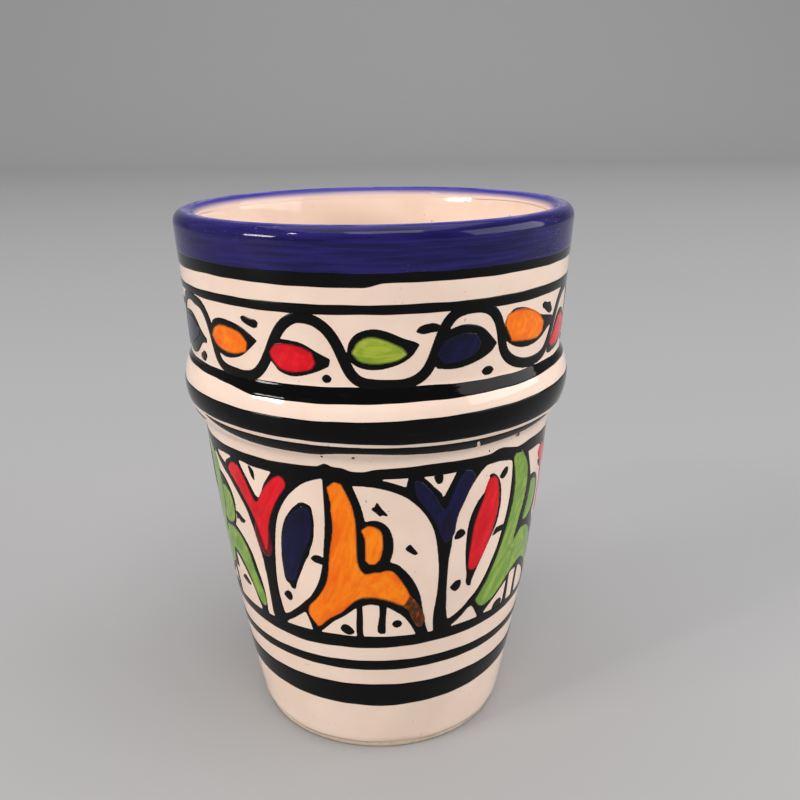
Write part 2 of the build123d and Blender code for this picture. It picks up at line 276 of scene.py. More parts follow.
A_MARKS = outlines(
    "16.3 38.98, 16.6 38.5, 17.3 38, 18.2 37.85, 19.2 38, 19.5 38.5, 19.4 38.98",
    "-2.2 35.5, -1 35.75, -0.7 36.2, -0.2 36.25, 0.8 35.6, 1.8 35.1, 2.8 34.7, 2.6 34.45, 1.4 34.6,"
    "0.3 34.45, -0.6 34.9, -1.8 35.2",
    "8 30.2, 8.8 30.55, 9.7 30.75, 10.4 30.4, 11.4 29.9, 12.3 29.4, 11.8 29.2, 10.8 29.25, 9.6 29.6,"
    "8.6 29.85",
    "-14 19.15, -13.3 19.7, -12 19.9, -10.6 19.7, -9.3 19.2, -8.8 18.75, -9.6 18.4, -11 18.25,"
    "-12.6 18.5, -13.6 18.8",
    "3.9 19.95, 4.6 20.4, 5.8 20.55, 7 20.4, 7.7 19.95, 7 19.5, 5.8 19.35, 4.6 19.5",
    "-34.9 22.4, -34 22, -32.5 21.65, -31.2 22, -31 22.5, -31.4 23, -32.6 23.2, -34 22.9",
    "-22.4 28.45, -21.6 28.15, -20.4 27.9, -19 27.85, -17.8 27.7, -17.6 28.8, -19.4 29.05, -21 29",
)

# The bud on the stem to the left of unit A.
B_BUD = outline(
    "-54.8 37.1, -53.4 37.8, -51.5 38.2, -49.8 38.25, -48.2 37.95, -46.4 37.15, -44.8 36.1, -43.3 35,"
    "-42 34.2, -40.8 34.2, -39.4 35, -38.2 35.7, -36.6 36.6, -34.6 37.4, -32.6 38.1, -30.8 38.4,"
    "-29.2 38.3, -28.4 37.7, -28.7 37.1, -30 36.5, -31.4 35.8, -33 34.9, -34.6 33.8, -36 32.8,"
    "-37 31.6, -37.8 30.5, -38.3 29.4, -39 28.2, -40 27.9, -40.8 28.8, -41.6 30, -42.6 31.2,"
    "-44.2 32.4, -46 33.4, -48 34.4, -50 35.3, -52 36, -53.6 36.4"
)
B_BUD_TAIL = outline(
    "-42.6 32, -44.3 30.2, -43.6 28.9, -42.4 27.9, -41 27.3, -39.8 27.1, -38.4 27.2, -37.2 27.8,"
    "-36.8 28.8, -37 30.4, -38.4 31.6"
)
B_BUD_ROOM = outline(
    "-47.6 38.75, -46.5 38.85, -44 38.75, -40 38.65, -37 38.75, -34.2 38.75, -33.5 38.7, -35.5 37.7,"
    "-37.3 36.8, -38.3 35.9, -39.2 35.2, -40.2 34.85, -41.5 35.1, -43 36, -44.5 36.9, -46.5 38"
)
B_BUD_MARK = outline(
    "-43.2 38.6, -42.3 38.75, -41 38.3, -40.5 37.9, -40.7 37, -41.2 36.9, -42.3 37.4, -42.9 38"
)

# Unit B: the second kind of figure, as it stands at +60.
B_LEFT_ROOMS = outlines(
    "24 19.6, 23.5 20.6, 23.2 21.6, 22.9 23.8, 22.8 26, 22.9 28.2, 23.4 29.2, 23.7 30.7, 23.9 31.9,"
    "24.4 32.7, 25.3 33.7, 26.8 35, 28.4 36.3, 30 37.2, 31.6 38, 33.2 38.6, 34.6 38.95, 36.5 39,"
    "40 38.95, 43 38.7, 45.3 38.5, 46 38.2, 46.4 37, 46.6 35.5, 46.6 34, 46.3 32.8, 45.8 31.5,"
    "45 30.3, 44.2 29.2, 43.3 27.9, 42.3 27, 41 26, 39.8 25, 38.3 24, 36.5 23, 34.5 22.1, 32 21.4,"
    "30.8 20.9, 28.5 20.3, 26.3 19.85, 24.8 19.6",
    "40.6 18.4, 41 18.7, 43 19.3, 45 19.8, 47 20.3, 49 20.8, 51 21.3, 52 21.5, 52 20.5, 51.8 19.6,"
    "51.5 18.5, 51 18.2",
    "54 22.2, 55.5 22.35, 57 22.3, 58.6 22.3, 58.6 21, 58.4 19.6, 58.8 18.3, 56 18.2, 54.6 18.3,"
    "54.2 20",
    "25.6 18.35, 28.4 19, 30.5 19.6, 32.2 20.2, 33.6 20.35, 34.6 20.05, 36 19.2, 37.4 18.35",
)
B_RIGHT_ROOMS = outlines(
    "55.6 38.45, 58 38.4, 61 38.35, 64 38.3, 67 37.9, 70 37.2, 73 36, 75.5 34.5, 77 33, 78 31.4,"
    "78.8 29.6, 79.3 27.6, 79.5 26, 79.4 24.2, 79.1 22.6, 78.6 21.2, 78.4 19.8, 78.8 18.3, 77 18.2,"
    "76.3 19, 75.8 20.2, 75.2 21.4, 74.4 22.8, 73.6 25.3, 72 26.8, 70 28, 68.2 28.8, 69.6 29.6,"
    "70.3 30.8, 70 32, 68.6 33.3, 66.5 34.2, 64 34.7, 61.5 34.9, 60 34.8, 59.4 35.3, 58.6 36,"
    "57.6 36.8, 56.6 37.6",
    "61 22.2, 62.5 22, 64.5 21.6, 67 21, 69.5 20.2, 71.5 19.3, 72.6 18.3, 68 18.2, 64 18.2,"
    "61.6 18.3, 60.8 19.6, 60.8 21",
)
B_PETAL_RIM = outline(
    "35.2 35.9, 34 35.5, 32.4 34.9, 31 34.1, 30 33.3, 29.3 32.4, 28.9 31.4, 28.7 30.2, 28.75 29,"
    "29 27.6, 29.5 26.3, 30.2 25.1, 30 24.2, 30.5 23.7, 31.4 23.45, 32.4 23.4, 32.7 24.2, 33.6 25,"
    "34.8 26, 36.2 27.1, 37.8 28.3, 39.3 29.3, 40.5 30.2, 41.4 30.9, 42 32, 42.3 33.2, 42.15 34.5,"
    "41.6 35.7, 40.6 36.6, 39.4 37.2, 37.8 37.7, 36.4 37.75, 35.7 37.5, 36.3 37.1, 36 36.4"
)
B_PETAL = outline(
    "36 37.1, 37.6 37.35, 39.2 36.95, 40.3 35.65, 41 34.1, 41 32.7, 40.3 31.3, 39 29.8, 37.4 28.2,"
    "35.8 27, 34.5 26.2, 32.9 25.65, 31 25.8, 30.3 26.3, 30.5 28.1, 30.8 30, 31.3 31.7, 32.6 33.4,"
    "34.2 34.8, 34.9 36"
)
B_LEFT_MARKS = outlines(
    "39.6 29.3, 40.6 29.3, 43 29.5, 45.6 29.5, 45.6 30.3, 43 30.35, 41 30.3",
    "24.2 30.9, 24.3 30.4, 26 30.35, 27.8 30.6, 28.4 31, 27.6 31.5, 26.3 31.7, 25 31.5",
    "23.8 24, 24.8 24.4, 25.8 24.75, 27.6 24.8, 28.3 24.5, 28.2 23.8, 27.4 23.4, 26.2 23.2, 24.9 23.5",
    "40.2 36.95, 41 36.65, 42.2 36.5, 43.5 36.8, 44.2 37.2, 44.3 37.6, 43.8 37.95, 42.8 38,"
    "41.6 37.7, 40.8 37.3",
    "45 18.2, 45.6 18.8, 46.6 19.2, 48 19.4, 49.8 19.35, 51 19, 51 18.2",
)
B_RIGHT_MARKS = [outline("65.8 36, 67.5 36, 69.5 35.5, 71.5 34.8, 71 34.4, 69 34.8, 67 35.3")]
B_FIGURE = outline(
    "46.4 38.6, 47.2 39.1, 48.4 39.35, 49.8 39.35, 51 39.1, 52 38.6, 53.2 38.1, 54.6 37.5, 55.6 36.9,"
    "56.3 36.1, 56.8 35.2, 57.1 34.2, 57 33.2, 56.6 32.2, 56 31.2, 55 30.3, 54.2 29.4, 53.4 28.4,"
    "52.6 27.4, 53 27.1, 54.2 27.4, 55.5 27.8, 57.2 28.1, 59.5 28.05, 61.5 27.9, 63.5 27.6,"
    "65.5 27.1, 67.8 26.4, 69.8 25.4, 71.2 24.2, 72.6 22.8, 74.4 21.4, 75.6 20.2, 75 19.2, 73 19.1,"
    "71 20, 69.6 21.2, 67.6 22, 65.4 22.7, 63 23.2, 60.5 23.4, 58 23.3, 55.5 23, 53 22.55,"
    "50.5 21.9, 48.3 21.2, 46.2 20.7, 44.3 20.2, 42 19.9, 39.6 19.65, 37.8 19.9, 36.3 20.4, 35.3 21,"
    "36.2 21.5, 37.6 22.2, 39.4 23.2, 41.2 24.4, 42.8 25.6, 44.2 26.8, 45.4 28, 46.4 29.2, 47.2 30.2,"
    "48 31.2, 48.5 32.2, 48.9 33.3, 49 34.4, 48.7 35.4, 48.2 36.3, 47.6 37.1, 47 37.9"
)
B_WING = outline(
    "60.2 33.9, 61.5 34.15, 63.5 34.1, 65.5 33.7, 67 33.1, 67.8 32, 67.6 31, 66.8 30.1, 65.2 29.5,"
    "63.2 29.1, 61 28.9, 58.8 29, 57.5 29.3, 58.2 29.9, 59.2 30.8, 60 32"
)

# Unit B as it stands at -60 has its own right half.
LEFT_B_ROOMS = outlines(
    "-62 37.2, -60 36.7, -58 36.2, -56 35.9, -54 35.3, -52 34.6, -50 33.8, -48 32.9, -46.8 32.1,"
    "-45.8 31.1, -44.9 30, -44.2 28.9, -43.2 27.7, -42.6 26.6, -42.2 25, -42 23.5, -41.9 22,"
    "-42 20.5, -42.2 19.2, -41.6 18.35, -44.6 18.3, -44.8 18.9, -44.6 20, -44.4 21.2, -44.8 22.2,"
    "-45.4 23.2, -46.4 24.4, -47.4 25.6, -48.4 26.6, -50 27.4, -52 28.2, -54 28.7, -56 29.1,"
    "-56.8 29.2, -55.5 30, -54.6 31.5, -54.2 32.2, -54.6 33.2, -56 34.2, -58 35, -60 35.4,"
    "-62 35.7, -64.4 35.9, -65.2 37, -66 38.2, -63.5 37.8",
    "-62 24.7, -60 24.5, -58 24, -56 23.3, -54 22.5, -52 21.5, -51 20.7, -50.4 20, -49.5 19.2,"
    "-48.6 18.7, -49.2 18.3, -54 18.25, -62 18.3",
    "-62 38.6, -58 38.75, -54 38.85, -52 38.85, -54.5 38.3, -56 38, -57 37.5, -58.5 37.7, -61 38.1",
)
LEFT_B_FOOT = outline(
    "-66 28.2, -62 28.5, -60 28.7, -58 28.7, -56 28.5, -54 28.1, -52 27.5, -50.4 26.7, -49.4 25.6,"
    "-48.6 24.6, -47.6 23.6, -46.4 22.6, -45.2 21.6, -44.6 20.6, -45 19.6, -46 19.2, -47.4 19.3,"
    "-48.6 19.8, -49.8 20.6, -51 21.6, -52.6 22.8, -54.4 23.7, -56.4 24.5, -58.6 25.1, -60.6 25.3,"
    "-62 25.4, -66 24.2"
)
LEFT_B_MARKS = outlines(
    "-55 31.4, -53.5 31.5, -52 31.3, -50.4 30.95, -48.8 30.8, -49.6 30.4, -51 30.15, -52.4 30.2,"
    "-53.4 30.5, -54.6 30.2",
    "-60.2 21.4, -58.5 22, -56.5 22.2, -54.8 21.8, -53.2 21.2, -55 20.9, -57.5 21.1",
)

# The vine frieze: its stem, then each leaf as (fill, outer edge of the black outline).
STEM = outline(
    "-60 57.1, -56 56.9, -53 55.7, -51.3 54, -50.3 52.3, -49 50.9, -46.5 50.2, -42 50, -38 49.9,"
    "-34.5 50.2, -31.5 51.3, -29 53, -27 54.7, -24.5 56.2, -21 57.1, -18 57.1, -15 56.8, -12 55.8,"
    "-10 54.5, -8.5 53, -7 51.5, -5 50.5, -2 50.1, 5 49.95, 8 50.05, 11 50.5, 13.2 51.3, 14.5 52.3,"
    "15.6 53.5, 16.6 54.7, 17.8 55.9, 19.5 56.9, 22 57.5, 27 57.7, 31 57.3, 33.5 56.2, 34.8 54.9,"
    "35.4 53.6, 36.2 52.5, 37.8 51.6, 40.5 50.9, 44 50.4, 48 50.2, 52 50.3, 55 50.6, 57.2 51.3,"
    "58.8 52.4, 60.2 53.6, 62 55, 64 56.3, 67 57.2, 71 57.5"
)
LEAVES = {
    "red": (
        outline("-28.7 53.1, -27.1 54, -24.5 54.2, -19.7 54, -16.6 53.4, -15.8 52.25, -17.1 51.5,"
                "-22.4 51.1, -26.1 51.4, -27.9 52.25"),
        outline("-28.9 53.9, -27 54.6, -23.4 54.6, -19.2 54.4, -15.5 53.5, -13 53, -11.8 52.75,"
                "-12.3 52, -16.1 51.25, -21.8 50.6, -26.1 51, -27.6 51.75, -29.4 52.6"),
    ),
    "green": (
        outline("-6.1 53.5, -4.5 54.75, -1.3 55.3, 2.9 54.75, 6.6 54, 7.9 53.25, 5.5 52.6, 0.3 52.3,"
                "-3.9 52.5"),
        outline("-7 54.5, -5 55.6, -0.8 56.1, 2.9 55.75, 7.1 54.9, 9.5 54.6, 11.1 54.25, 9.2 53,"
                "5.5 52.1, -0.3 51.6, -5 52, -7.2 53"),
    ),
    "navy": (
        outline("16 53, 17.6 54.25, 22.9 55, 26.6 54.75, 28.2 53.75, 27.1 52.75, 22.9 52.1, 18.2 52"),
        outline("16.6 55, 20.3 55.75, 23.9 56, 28.7 55.5, 31.8 54.25, 33.7 53.4, 31.8 52.5,"
                "27.6 51.75, 21.3 51.2, 16 51.5, 14.8 52.6, 15.4 54"),
    ),
    "orange": (
        outline("-50.8 53.75, -49.2 54.75, -46.1 55.2, -42.4 55.1, -38.2 54.75, -36.2 53.75,"
                "-36.8 52.75, -40.8 52.2, -45.5 52.25, -49.2 52.75"),
        outline("-51.4 54.4, -50 55.5, -47 55.9, -43.4 55.9, -38.2 55.5, -35 54.75, -32.7 54.1,"
                "-36.1 52.9, -39.2 52, -44.5 51.5, -48.7 51.9, -50.6 52.8"),
    ),
}
# Leaves that have a shape of their own in the photograph.
OWN_LEAVES = {
    4: (
        outline("36.3 55.25, 37.1 56.25, 40.3 56.7, 45.5 56.4, 50.3 55.6, 53.4 54.5, 53.2 53.4,"
                "50.3 52.75, 43.9 53, 39.2 53.25"),
        outline("36.2 55.5, 37.5 56.3, 39 56.8, 41.5 56.85, 45 56.55, 48 56, 50.5 55.5, 53 55.2,"
                "57 54.9, 59.5 54.7, 59 53.7, 57 53.6, 54.5 53, 52.5 52.6, 50 52.3, 46.5 52.15,"
                "43 52.3, 40 52.7, 37.5 53.3, 36 54"),
    ),
    5: (
        outline("59.4 51.4, 60.5 51, 64 50.9, 68 51.1, 72 51.6, 74.4 52.4, 73.4 53.5, 71 54, 68 54.4,"
                "65.5 54.3, 63.5 53.6, 62 52.8, 60.5 52"),
        outline("58 50.5, 60 50.2, 64 50.3, 68 50.5, 72 51.2, 75 52.2, 74 53.6, 71 54.6, 68 55,"
                "65.5 54.9, 63.5 54.2, 62 53.2, 60.5 52, 59 51.3"),
    ),
    15: (
        outline("-74 53, -72.4 54.25, -67.1 55, -63.4 54.75, -60.6 53.9, -59.6 53.2, -62.9 52.4,"
                "-67.1 51.6, -71.8 52"),
        outline("-73.4 55, -69.7 55.4, -66 55.5, -63.5 55.4, -61 54.8, -58.5 53.8, -56.5 53.2, -55 52.9,"
                "-55.3 52.4, -58 52.3, -60 51.7, -62.5 50.9, -66 50.4, -70 50.3, -74 50.8, -75.4 53"),
    ),
}
VINE_MARKS = outlines(
    "-37.7 56.5, -36.5 56.7, -34.5 56.45, -32.7 56.45, -31.8 56.1, -32.3 55.6, -33.5 55.5,"
    "-35.5 55.75, -37.3 56.1",
    "10.2 55.6, 11 56.1, 12.8 56.35, 15 56.4, 16.7 56.1, 16.2 55.5, 14 55.45, 12 55.3",
    "53.6 56, 54.2 56.4, 55.3 56.4, 56.8 56.1, 58.4 55.8, 58.7 55.3, 57.5 55.1, 56 55.3, 54.6 55.6",
    "-59.2 50.85, -58.7 51.2, -57.7 51.3, -56.7 51.2, -56.2 50.85, -56.7 50.5, -57.7 50.4, -58.7 50.5",
    "-14.2 50.65, -13.7 51, -12.9 51.1, -12.1 51, -11.6 50.65, -12.1 50.3, -12.9 50.2, -13.7 50.3",
    "29.2 50.5, 30 50.9, 31.2 51, 32.4 50.9, 33.2 50.5, 32.4 50.1, 31.2 50, 30 50.1",
)

# Below the bead: the brush sweep under its black band, specks of black, and a scratch through them.
UNDERLINE = outline(
    "-57.5 43.88, -52 43.72, -46 43.6, -40 43.52, -30 43.45, -20 43.38, -8 43.27, 4 43.14, 16 43.04,"
    "30 42.96, 45 43, 56 43.08, 59.5 42.9, 54 42.38, 48 42.12, 42 42.0, 36 41.94, 31 41.88, 28 41.78,"
    "20 41.92, 8 42.12, -2 42.42, -8 42.45, -13 42.28, -16 42.06, -20 42.04, -28 42.1, -36 42.2,"
    "-42 42.42, -48 42.78, -53 43.22"
)
SPATTER = outlines(
    "44.6 41.7, 45.3 42.05, 46.3 41.9, 46.9 41.7, 47.8 41.3, 47.2 41.2, 46.3 41.4, 45.4 41.45",
    "43.4 41.3, 44 41.45, 44.2 41.3, 43.7 41.15",
    "41.9 41.1, 42.4 41.3, 42.7 41.15, 42.2 41.0",
    "-16.1 41.7, -15.6 41.95, -15.1 41.75, -15.4 41.5",
    "-7.3 41.7, -6.7 42, -6.1 41.85, -6.3 41.6, -6.9 41.55",
    "34.5 40.7, 34.9 40.9, 35.3 40.75, 35 40.5",
)
SCRATCH = outline("28.4 42.6, 28.9 42.55, 29.8 42.0, 30.3 41.4, 30 41.4, 29.3 41.95")


# ---------- Materials ----------
def colour(red, green, blue):
    """A linear colour from the 0 to 255 numbers of a picture."""
    linear = [((c / 255 + 0.055) / 1.055) ** 2.4 if c > 10 else c / 255 / 12.92 for c in (red, green, blue)]
    return (*linear, 1.0)


class Finish:
    """A node material built by short calls; sockets are passed straight in as inputs."""

    def __init__(self, name, roughness, specular):
        self.material = bpy.data.materials.new(name)
        self.material.use_nodes = True
        self.tree = self.material.node_tree
        self.shader = self.tree.nodes["Principled BSDF"]
        self.shader.inputs["Roughness"].default_value = roughness
        self.shader.inputs["Specular IOR Level"].default_value = specular

    def add(self, kind, inputs, **settings):
        made = self.tree.nodes.new("ShaderNode" + kind)
        for key, value in settings.items():
            setattr(made, key, value)
        for key, value in inputs.items():
            if isinstance(value, bpy.types.NodeSocket):
                self.tree.links.new(value, made.inputs[key])
            else:
                made.inputs[key].default_value = value
        return made

    def wall(self, turn=0.0, stretch=(1.0, 1.0, 1.0)):
        """The mesh's own millimetre coordinates on the wall, turned and stretched."""
        where = self.add("Attribute", {}, attribute_name="wall").outputs["Vector"]
        return self.add("Mapping", {
            "Vector": where, "Rotation": (0, 0, math.radians(turn)),
            "Scale": tuple(1 / value for value in stretch),
        }, vector_type="TEXTURE").outputs["Vector"]

    def space(self):
        """Object coordinates in millimetres."""
        where = self.add("TexCoord", {}).outputs["Object"]
        return self.add("Mapping", {"Vector": where, "Scale": (1 / MM,) * 3}).outputs["Vector"]

    def noise(self, vector, scale, detail=3.0, roughness=0.55):
        return self.add("TexNoise", {
            "Vector": vector, "Scale": scale, "Detail": detail, "Roughness": roughness,
        }).outputs["Fac"]

    def level(self, value, low, high):
        """A smooth step from 0 at the low value to 1 at the high one."""
        return self.add("MapRange", {
            "Value": value, "From Min": low, "From Max": high,
        }, interpolation_type="SMOOTHSTEP").outputs["Result"]

    def number(self, name):
        return self.add("Attribute", {}, attribute_name=name).outputs["Fac"]

    def mix(self, share, first, second):
        return self.add("Mix", {0: share, 6: first, 7: second}, data_type="RGBA").outputs[2]

    def times(self, first, second):
        return self.add("Math", {0: first, 1: second}, operation="MULTIPLY").outputs[0]

    def colour(self, value):
        self.tree.links.new(value, self.shader.inputs["Base Color"])

    def bump(self, height, depth, strength):
        made = self.add("Bump", {"Height": height, "Distance": depth * MM, "Strength": strength})
        self.tree.links.new(made.outputs["Normal"], self.shader.inputs["Normal"])


def white_glaze():
    finish = Finish("white_glaze", 0.08, 0.45)
    space = finish.space()
    mottle = finish.level(finish.noise(space, 0.12), 0.35, 0.65)
    warm = finish.mix(mottle, colour(244, 220, 202), colour(238, 212, 194))
    speck = finish.level(finish.noise(space, 1.9, detail=1.0), 0.765, 0.80)
    finish.colour(finish.mix(finish.times(speck, 0.55), warm, colour(120, 92, 74)))
    finish.bump(finish.noise(space, 0.5, detail=2.0), 0.035, 0.55)
    return finish.material


def clay():
    finish = Finish("clay", 0.75, 0.3)
    space = finish.space()
    grain = finish.noise(space, 2.2, detail=6.0, roughness=0.7)
    body = finish.mix(finish.level(grain, 0.35, 0.7), colour(226, 208, 186), colour(205, 183, 158))
    pits = finish.level(finish.noise(space, 4.5, detail=2.0), 0.66, 0.74)
    finish.colour(finish.mix(finish.times(pits, 0.6), body, colour(150, 122, 98)))
    finish.bump(grain, 0.08, 0.8)
    return finish.material


def black_line():
    finish = Finish("black_line", 0.06, 0.14)
    thin = finish.level(finish.noise(finish.wall(stretch=(0.35, 1.6, 1)), 0.9, detail=4.0), 0.55, 0.85)
    finish.colour(finish.mix(thin, colour(4, 4, 5), colour(18, 15, 16)))
    finish.bump(finish.noise(finish.wall(stretch=(0.5, 1, 1)), 1.3), 0.03, 0.7)
    return finish.material


def cobalt():
    """Cobalt glaze of the rim: brushed round the wall, thin and pale where it crosses the lip, where the
    lighter blue is also a painted highlight.
    """
    finish = Finish("cobalt_glaze", 0.06, 0.2)
    streak = finish.noise(finish.wall(stretch=(0.12, 1.9, 1)), 1.0, detail=5.0, roughness=0.6)
    body = finish.mix(finish.level(streak, 0.36, 0.68), colour(22, 17, 68), colour(37, 30, 100))
    patch = finish.level(finish.noise(finish.wall(stretch=(0.2, 0.5, 1)), 0.5, detail=2.0), 0.5, 0.75)
    body = finish.mix(finish.times(patch, 0.4), body, colour(44, 32, 104))
    # Light lavender dashes in patches: painted glints of reflection on the cobalt.
    dash = finish.level(finish.noise(finish.wall(stretch=(0.6, 3.2, 1)), 2.6, detail=2.0), 0.64, 0.72)
    glint_patches = finish.level(finish.noise(finish.wall(stretch=(0.1, 0.2, 1)), 0.6, detail=1.0), 0.5, 0.66)
    body = finish.mix(finish.times(finish.times(dash, glint_patches), 0.7), body, colour(122, 112, 182))
    place = finish.number("share")
    # Lighter blue over the lip: the cobalt thinning there, and partly a painted highlight of the rounded
    # lip edge.
    lip = finish.mix(finish.level(place, 0.52, 0.60), body, colour(56, 50, 140))
    # The lip's crest turns pale lavender in broken dashes: partly glaze rubbed thin, partly a painted
    # highlight along the lip top.
    crest = finish.times(finish.level(place, 0.55, 0.59), finish.level(place, 0.66, 0.62))
    crest_noise = finish.noise(finish.wall(stretch=(0.16, 0.3, 1)), 1.4, detail=6.0, roughness=0.65)
    rubbed_and_glinting_crest = finish.times(crest, finish.level(crest_noise, 0.4, 0.66))
    lip = finish.mix(finish.times(rubbed_and_glinting_crest, 0.7), lip, colour(150, 142, 206))
    finish.colour(finish.mix(finish.level(place, 0.672, 0.765), lip, colour(237, 212, 196)))
    finish.bump(streak, 0.02, 0.5)
    return finish.material


def enamel(name, body, light, deep, over, turn):
    """Brushed enamel: streaks along the stroke, a deeper pool, and darker where it covers black."""
    finish = Finish(name, 0.1, 0.2)
    streak = finish.noise(finish.wall(turn, (0.2, 1.3, 1)), 0.95, detail=4.0, roughness=0.6)
    tone = finish.mix(finish.level(streak, 0.38, 0.66), colour(*body), colour(*light))
    pool = finish.level(finish.noise(finish.wall(turn, (0.35, 0.6, 1)), 0.55, detail=2.0), 0.45, 0.72)
    tone = finish.mix(finish.times(pool, 0.75), tone, colour(*deep))
    scuffed = finish.level(finish.noise(finish.wall(turn, (0.3, 1.2, 1)), 1.7, detail=3.0), 0.42, 0.7)
    covered = finish.mix(finish.times(scuffed, 0.26), colour(*over), colour(*deep))
    finish.colour(finish.mix(finish.number("over"), tone, covered))
    finish.bump(streak, 0.03, 0.6)
    return finish.material


# Each enamel's body, streak, pool and over-black colours, and the slant of its brush strokes.
ENAMELS = {
    "orange_enamel": ((249, 115, 8), (254, 140, 20), (237, 95, 4), (66, 38, 13), 68),
    "green_enamel": ((114, 150, 58), (148, 176, 78), (96, 134, 48), (30, 48, 22), 55),
    "red_enamel": ((215, 10, 27), (227, 26, 42), (190, 6, 21), (74, 6, 12), 60),
    "navy_enamel": ((9, 9, 44), (14, 14, 62), (6, 6, 30), (15, 13, 48), 60),
    "green_leaf_enamel": ((138, 160, 44), (166, 180, 62), (116, 146, 38), (34, 52, 22), 4),
}
MATERIALS = {
    "white_glaze": white_glaze(), "clay": clay(), "black_line": black_line(), "cobalt_glaze": cobalt(),
    **{name: enamel(name, *look) for name, look in ENAMELS.items()},
}

# ---------- Clay and glaze ----------
COLUMNS = 480
ANGLES = np.linspace(-180, 180, COLUMNS, endpoint=False)
# Mesh steps along the profile, and the foot's measures.
CLAY_STEP = 0.85
COAT_STEP = 0.41
LINING_STEP = 0.55
HIDDEN_STEP = 1.5
FOOT_RING_INSIDE = 12.9
RECESS = 1.5
FOOT_EDGE = 0.4
COAT_GAP = 0.02


def make_clay():
    underside = np.array([
        (0, RECESS), (4, RECESS), (8, RECESS), (FOOT_RING_INSIDE - 1, RECESS),
        (FOOT_RING_INSIDE - 0.5, RECESS), (FOOT_RING_INSIDE, RECESS - 0.5), (FOOT_RING_INSIDE, 0.35),
        (FOOT_RING_INSIDE + 0.12, 0.1), (FOOT_RING_INSIDE + 0.4, 0), (FOOT_RADIUS - 1.2, 0),
        (FOOT_RADIUS - FOOT_EDGE, 0), (FOOT_RADIUS - 0.2, 0.05), (FOOT_RADIUS - 0.04, 0.2),
    ])
    path = np.concatenate([underside, resampled(CLAY[CLAY[:, 1] > FOOT_EDGE], CLAY_STEP)])
    path[-1, 0] = 0
    moves = 0.012 * np.sin(3 * np.radians(ANGLES) + path[:, 1:] * 0.4) * (path[:, :1] > 1)
    return lathe("clay_body", path, moves)


def make_coat():
    """The glaze outside, from the bare foot up to the top of the lip."""
    face = resampled(OUTSIDE[OUTSIDE[:, 1] >= BARE_FOOT], COAT_STEP)
    outer_clay = CLAY[:LIP_INDEX + 1]
    under = resampled(outer_clay[outer_clay[:, 1] >= BARE_FOOT], HIDDEN_STEP)[::-1]
    moves = undulation(ANGLES, face[:, 1:])
    front = np.stack([face[:, :1] + moves, face[:, 1:] + 0 * moves], -1)
    # At the foot the glaze thins out to a wavy edge.
    run = 0.10 * np.sin(np.radians(ANGLES) * 5 + 1) + 0.06 * np.sin(np.radians(ANGLES) * 13)
    for row, (thinner, share) in enumerate(((0.24, 1), (0.07, 0.5))):
        front[row, :, 0] -= thinner
        front[row, :, 1] += share * run
    back = np.repeat(under[:, None] + (COAT_GAP, 0), COLUMNS, axis=1)
    return turned_piece("glaze_coat", np.concatenate([front, back]))


def make_lining():
    """The glaze inside, from the top of the lip down to the middle of the floor."""
    face = resampled(GLAZED[LIP_INDEX:], LINING_STEP)[::-1]
    face[0, 0] = 0
    back = resampled(CLAY[LIP_INDEX:], HIDDEN_STEP)
    back[-1, 0] = 0
    turn, radius, height = np.radians(ANGLES), face[:, :1], face[:, 1:]
    inside = 0.03 * np.sin(2 * turn + 0.08 * height) + 0.012 * np.sin(5 * turn - 0.2 * height)
    inside = inside * np.clip(radius / 8, 0, 1) * np.clip((LIP_HEIGHT - height - 4) / 6, 0, 1)
    moves = np.concatenate([inside, np.zeros((len(back), COLUMNS))])
    return lathe("glaze_lining", np.concatenate([face, back]), moves)


finish_piece(make_clay(), "clay", "clay_body")
finish_piece(make_coat(), "white_glaze", "glaze_coat")
finish_piece(make_lining(), "white_glaze", "glaze_lining")

# ---------- Bands painted right round the wall ----------
# A line stands proud of the glaze, rounds off near its edges, and is sunk at them and at its back.
BAND_ROWS = 14
LINE_PROUD = 0.055
LINE_EDGE = 0.28
SUNK_EDGE = 0.01
BURIED = 0.03
EDGE_SMOOTHING = 7
RIM_ROWS = 44
RIM_INSIDE_DROP = 2.3
# The rim's "share" attribute: 0.6 on top of the lip, growing by 1 in 12 mm on the way inside.
LIP_SHARE, SHARE_LENGTH = 0.6, 12


def rise(depth, edge, tall):
    """A deposit's height from how far inside its edge a point is."""
    return tall * np.sqrt(1 - (1 - np.clip(depth / edge, 0, 1)) ** 2)


def eased(share):
    """A share from 0 to 1 that starts and ends gently."""
    return share * share * (3 - 2 * share)


def edge_heights(text, wobble):
    """A hand-painted edge: heights read between (angle, height) points, closed round the back."""
    points = outline(text)
    points = np.array(points + [(points[0][0] + 360, points[0][1])])
    places = (ANGLES - points[0, 0]) % 360 + points[0, 0]
    heights = np.interp(places, points[:, 0], points[:, 1])
    kernel = np.hanning(EDGE_SMOOTHING) / np.hanning(EDGE_SMOOTHING).sum()
    heights = np.convolve(np.tile(heights, 3), kernel, mode="same")[COLUMNS:2 * COLUMNS]
    for count in (7, 12, 19, 33):
        heights = heights + wobble * 0.4 * np.sin(count * np.radians(ANGLES) + rng.uniform(0, math.tau))
    return heights


def band(name, low, high):
    low, high = edge_heights(low, 0.035), edge_heights(high, 0.035)
    share = 0.5 - 0.5 * np.cos(math.pi * np.linspace(0, 1, BAND_ROWS)[:, None])
    heights = low + (high - low) * share
    crown = rise(np.minimum(heights - low, high - heights), LINE_EDGE, LINE_PROUD + SUNK_EDGE)
    radius = wall_radius(ANGLES, heights)
    front = np.stack([radius - SUNK_EDGE + crown, heights], -1)
    back = np.stack([radius - BURIED, heights], -1)[-2:0:-1]
    finish_piece(turned_piece(name, np.concatenate([front, back])), "black_line", name)


